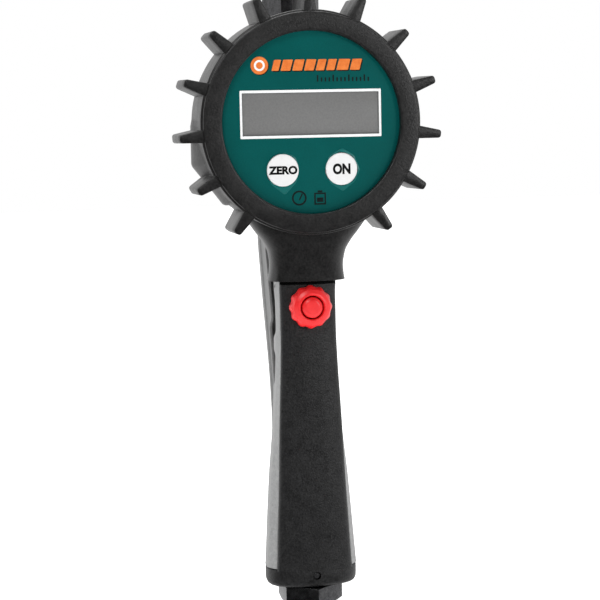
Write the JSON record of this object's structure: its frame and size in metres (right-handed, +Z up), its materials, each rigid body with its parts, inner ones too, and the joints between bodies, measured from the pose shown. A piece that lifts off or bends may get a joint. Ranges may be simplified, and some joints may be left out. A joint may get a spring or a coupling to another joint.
{
  "type": "tyre inflator handle",
  "caption": "Hand-held tyre inflator with a round digital gauge in a finned rubber boot, a tapered grip, a red bleed knob and a squeeze lever behind the handle.",
  "frame": {"origin": "on the open end of the air inlet, under the centre of the object's box", "axes": "+Z up along the handle from the inlet to the gauge; the gauge's face looks along -Y; +X to the right of someone who reads the gauge"},
  "size_m": [0.0976, 0.053, 0.2405],
  "materials": {
    "boot_rubber": "matt moulded rubber, fine mottle",
    "case_black": "fine moulded texture",
    "grip_black": "grained soft-touch",
    "label_green": "printed overlay, satin",
    "screen_lens": "grey liquid-crystal display behind a clear lens",
    "screen_glass": "display cell",
    "key_white": "satin white",
    "board_green": "circuit laminate",
    "cell_steel": "plated",
    "steel": "ground",
    "brass": "turned",
    "cast_grey": "light grey powder coat on a die casting",
    "lever_grey": "light grey satin coat on pressed steel",
    "dark_nickel": "dark nickel plate",
    "knob_red": "satin red",
    "seal_rubber": "smooth"
  },
  "bodies": {
    "handle": {"rubber_boot": "boot_rubber", "gauge_case_front": "case_black", "gauge_case_rear": "case_black", "battery_door": "case_black", "coin_cell": "cell_steel", "circuit_board": "board_green", "pressure_sensor": "steel", "gauge_stem": "brass", "gauge_seal": "seal_rubber", "face_label": "label_green", "screen_window": "screen_lens", "screen_panel": "screen_glass", "valve_body": "cast_grey", "front_grip": "grip_black", "end_cap": "grip_black", "cap_pin": "steel", "side_pin": "steel", "inlet_fitting": "dark_nickel", "inlet_screen": "brass", "inlet_seal": "seal_rubber", "lever_pin": "steel", "pin_clip": "steel", "valve_plug": "brass", "valve_spring": "steel", "bleed_collar": "knob_red", "bleed_spring": "steel"},
    "lever": {"lever": "lever_grey"},
    "air_valve": {"valve_stem": "steel", "valve_seal": "seal_rubber"},
    "bleed_button": {"bleed_button": "knob_red", "bleed_seal": "seal_rubber"},
    "zero_key": {"zero_key": "key_white"},
    "on_key": {"on_key": "key_white"},
    "hose_swivel": {"outlet_swivel": "dark_nickel", "outlet_seal": "seal_rubber"}
  },
  "joints": [
    {"name": "lever_squeeze", "type": "hinge", "parent": "handle", "child": "lever", "pos_m": [0, 0.0145, 0.1615], "axis": [-1, 0, 0], "range_deg": [0, 5], "stiffness_Nm_per_rad": 1, "springref_deg": -5.73},
    {"name": "air_valve_push", "type": "slide", "parent": "handle", "child": "air_valve", "axis": [0, -1, 0], "range_m": [0, 0.0055], "deforming": ["valve_spring"]},
    {"name": "bleed_button_press", "type": "slide", "parent": "handle", "child": "bleed_button", "axis": [0, 1, 0], "range_m": [0, 0.002], "stiffness_N_per_m": 800, "springref_m": -0.003, "deforming": ["bleed_spring"]},
    {"name": "zero_key_press", "type": "slide", "parent": "handle", "child": "zero_key", "axis": [0, 1, 0], "range_m": [0, 0.0006], "stiffness_N_per_m": 600, "springref_m": -0.0008},
    {"name": "on_key_press", "type": "slide", "parent": "handle", "child": "on_key", "axis": [0, 1, 0], "range_m": [0, 0.0006], "stiffness_N_per_m": 600, "springref_m": -0.0008},
    {"name": "hose_swivel_turn", "type": "hinge", "parent": "handle", "child": "hose_swivel", "pos_m": [0, 0.0105, 0.2195], "axis": [0, 0, 1], "continuous": true}
  ],
  "couplings": [
    {"joint": "air_valve_push", "follows": "lever_squeeze", "m_per_rad": 0.061}
  ]
}
